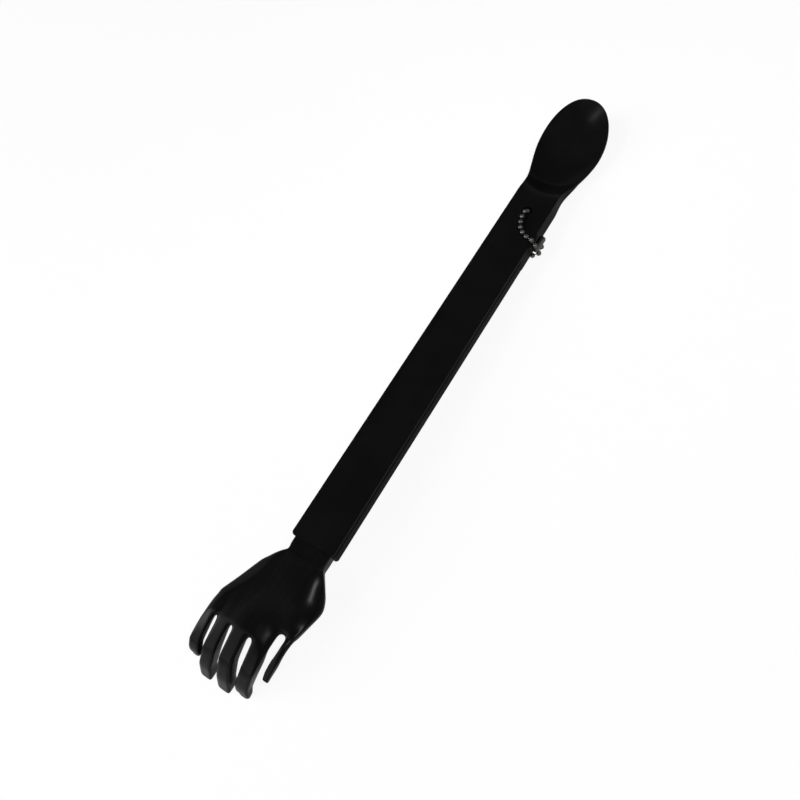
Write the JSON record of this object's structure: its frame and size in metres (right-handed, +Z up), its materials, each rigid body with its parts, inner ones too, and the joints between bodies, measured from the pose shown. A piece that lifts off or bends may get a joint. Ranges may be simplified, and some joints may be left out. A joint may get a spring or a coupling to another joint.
{
  "type": "back scratcher",
  "caption": "Two-in-one back scratcher: flat hollow handle with a curled scratching hand at one end, a shoehorn blade at the other and a loop of ball chain through its neck.",
  "frame": {"origin": "middle of the object's footprint on the table it lies on, front face up, at the table's height", "axes": "+X along the object from the scratching hand to the shoehorn's tip, +Y towards the little finger's side, +Z up, out of the front face"},
  "size_m": [0.3963, 0.053, 0.0248],
  "materials": {
    "handle_plastic": "satin black moulded ABS",
    "hand_plastic": "glossy black moulded ABS",
    "chain_metal": "nickel-plated steel"
  },
  "bodies": {
    "handle": {"front_shell": "handle_plastic", "back_cover": "handle_plastic", "hand": "hand_plastic"},
    "chain_top": {"chain_bead_09": "chain_metal", "chain_bead_10": "chain_metal", "chain_bead_11": "chain_metal", "chain_bead_12": "chain_metal", "chain_bead_13": "chain_metal", "chain_link_08": "chain_metal", "chain_link_09": "chain_metal", "chain_link_10": "chain_metal", "chain_link_11": "chain_metal", "chain_link_12": "chain_metal", "chain_link_13": "chain_metal"},
    "chain_pair_1": {"chain_bead_08": "chain_metal", "chain_bead_14": "chain_metal", "chain_link_07": "chain_metal", "chain_link_14": "chain_metal"},
    "chain_pair_2": {"chain_bead_07": "chain_metal", "chain_bead_15": "chain_metal", "chain_link_06": "chain_metal", "chain_link_15": "chain_metal"},
    "chain_pair_3": {"chain_bead_06": "chain_metal", "chain_bead_16": "chain_metal", "chain_link_05": "chain_metal", "chain_link_16": "chain_metal"},
    "chain_pair_4": {"chain_bead_05": "chain_metal", "chain_bead_17": "chain_metal", "chain_link_04": "chain_metal", "chain_link_17": "chain_metal"},
    "chain_pair_5": {"chain_bead_04": "chain_metal", "chain_bead_18": "chain_metal", "chain_link_03": "chain_metal", "chain_link_18": "chain_metal"},
    "chain_end": {"chain_bead_01": "chain_metal", "chain_bead_02": "chain_metal", "chain_bead_03": "chain_metal", "chain_bead_19": "chain_metal", "chain_bead_20": "chain_metal", "chain_bead_21": "chain_metal", "chain_bead_22": "chain_metal", "chain_link_01": "chain_metal", "chain_link_02": "chain_metal", "chain_link_19": "chain_metal", "chain_link_20": "chain_metal", "chain_link_21": "chain_metal", "chain_connector": "chain_metal"}
  },
  "joints": [
    {"name": "chain_swing", "type": "hinge", "parent": "handle", "child": "chain_top", "pos_m": [0.11296, -0.00605, 0.00877], "axis": [0.0466, 0, 0.9989], "range_deg": [0, 88]},
    {"name": "chain_bend_1", "type": "hinge", "parent": "chain_top", "child": "chain_pair_1", "pos_m": [0.10756, -0.00614, 0.00903], "axis": [0.0466, 0, 0.9989], "range_deg": [-14.1, 0.1]},
    {"name": "chain_bend_2", "type": "hinge", "parent": "chain_pair_1", "child": "chain_pair_2", "pos_m": [0.10367, -0.00692, 0.00921], "axis": [0.0466, 0, 0.9989], "range_deg": [-10.1, 0.1]},
    {"name": "chain_bend_3", "type": "hinge", "parent": "chain_pair_2", "child": "chain_pair_3", "pos_m": [0.09999, -0.00845, 0.00938], "axis": [0.0466, 0, 0.9989], "range_deg": [-17.1, 0.1]},
    {"name": "chain_bend_4", "type": "hinge", "parent": "chain_pair_3", "child": "chain_pair_4", "pos_m": [0.09685, -0.01085, 0.00953], "axis": [0.0466, 0, 0.9989], "range_deg": [-18.1, 0.1]},
    {"name": "chain_bend_5", "type": "hinge", "parent": "chain_pair_4", "child": "chain_pair_5", "pos_m": [0.09458, -0.01409, 0.00963], "axis": [0.0466, 0, 0.9989], "range_deg": [-12.09, 0.1]},
    {"name": "chain_end_bend", "type": "hinge", "parent": "chain_pair_5", "child": "chain_end", "pos_m": [0.09315, -0.01781, 0.0097], "axis": [0.0466, 0, 0.9989], "range_deg": [-7.12, 0.1]}
  ],
  "couplings": [
    {"joint": "chain_bend_1", "follows": "chain_swing", "ratio": -0.15909},
    {"joint": "chain_bend_2", "follows": "chain_swing", "ratio": -0.11364},
    {"joint": "chain_bend_3", "follows": "chain_swing", "ratio": -0.19322},
    {"joint": "chain_bend_4", "follows": "chain_swing", "ratio": -0.20453},
    {"joint": "chain_bend_5", "follows": "chain_swing", "ratio": -0.13625},
    {"joint": "chain_end_bend", "follows": "chain_swing", "ratio": -0.079749}
  ]
}
